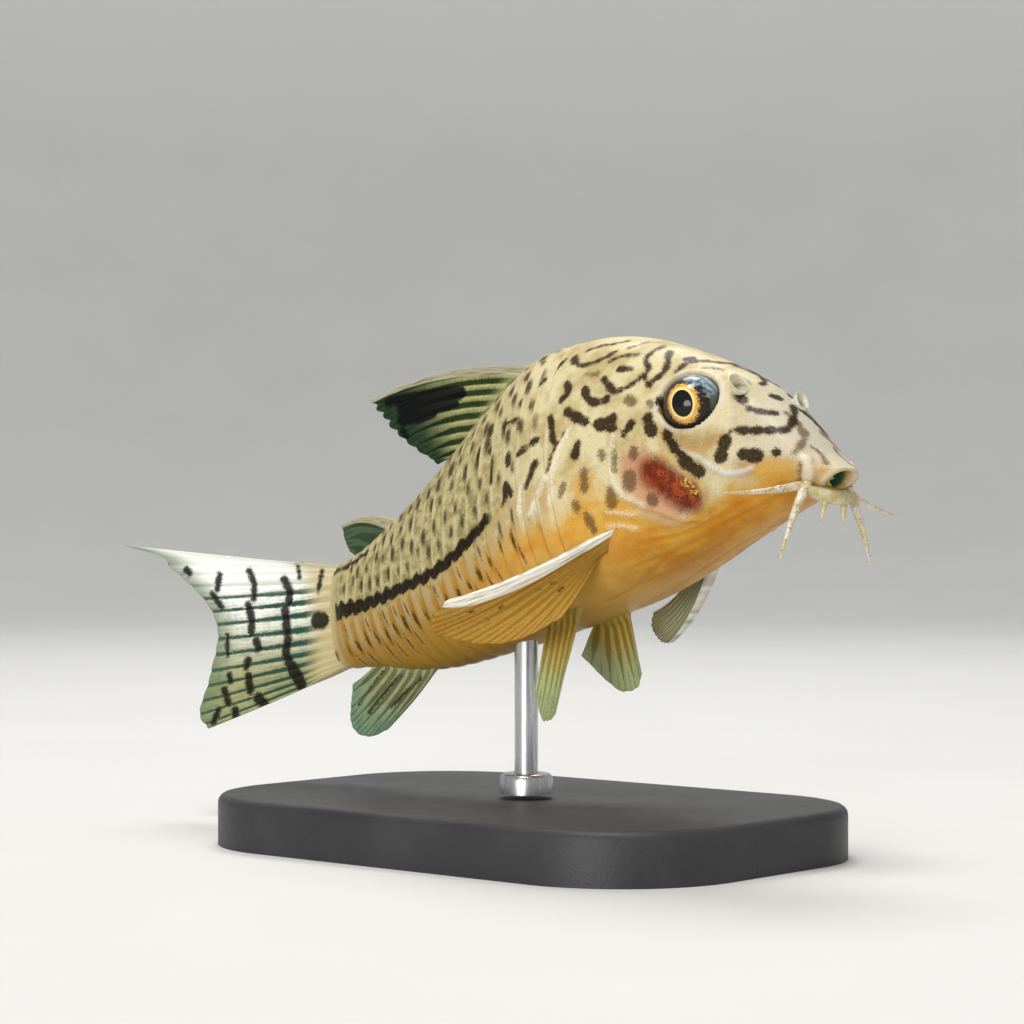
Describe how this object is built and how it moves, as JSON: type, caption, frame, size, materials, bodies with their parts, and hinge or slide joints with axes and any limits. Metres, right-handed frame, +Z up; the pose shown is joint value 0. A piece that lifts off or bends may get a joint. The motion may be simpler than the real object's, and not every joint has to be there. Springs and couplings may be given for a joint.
{
  "type": "corydoras catfish model",
  "caption": "Life-size still model of a three-striped corydoras catfish, swimming nose up, held by a rod on a flat display base.",
  "frame": {"origin": "middle of the stand's underside, straight below the top of its rod", "axes": "+Z up, +X the way the trunk heads, +Y to the fish's left"},
  "size_m": [0.0667, 0.028, 0.0346],
  "materials": {
    "skin": "satin, cream and gold with dark brown lines and spots",
    "fin": "thin and glassy, pale rays with dark bars",
    "eye": "wet and glossy, black pupil in a gold ring",
    "barbel": "soft satin, pale cream",
    "stand_base": "matte black",
    "stand_rod": "brushed"
  },
  "bodies": {
    "root": {"head": "skin", "trunk": "skin", "tail_stalk": "skin", "dorsal_fin": "fin", "adipose_fin": "fin", "anal_fin": "fin", "caudal_fin": "fin", "pectoral_fin_left": "fin", "pectoral_fin_right": "fin", "pelvic_fin_left": "fin", "pelvic_fin_right": "fin", "eye_left": "eye", "eye_right": "eye", "barbel_upper_left": "barbel", "barbel_upper_right": "barbel", "barbel_lower_left": "barbel", "barbel_lower_right": "barbel", "stand_base": "stand_base", "stand_rod": "stand_rod"}
  },
  "joints": []
}
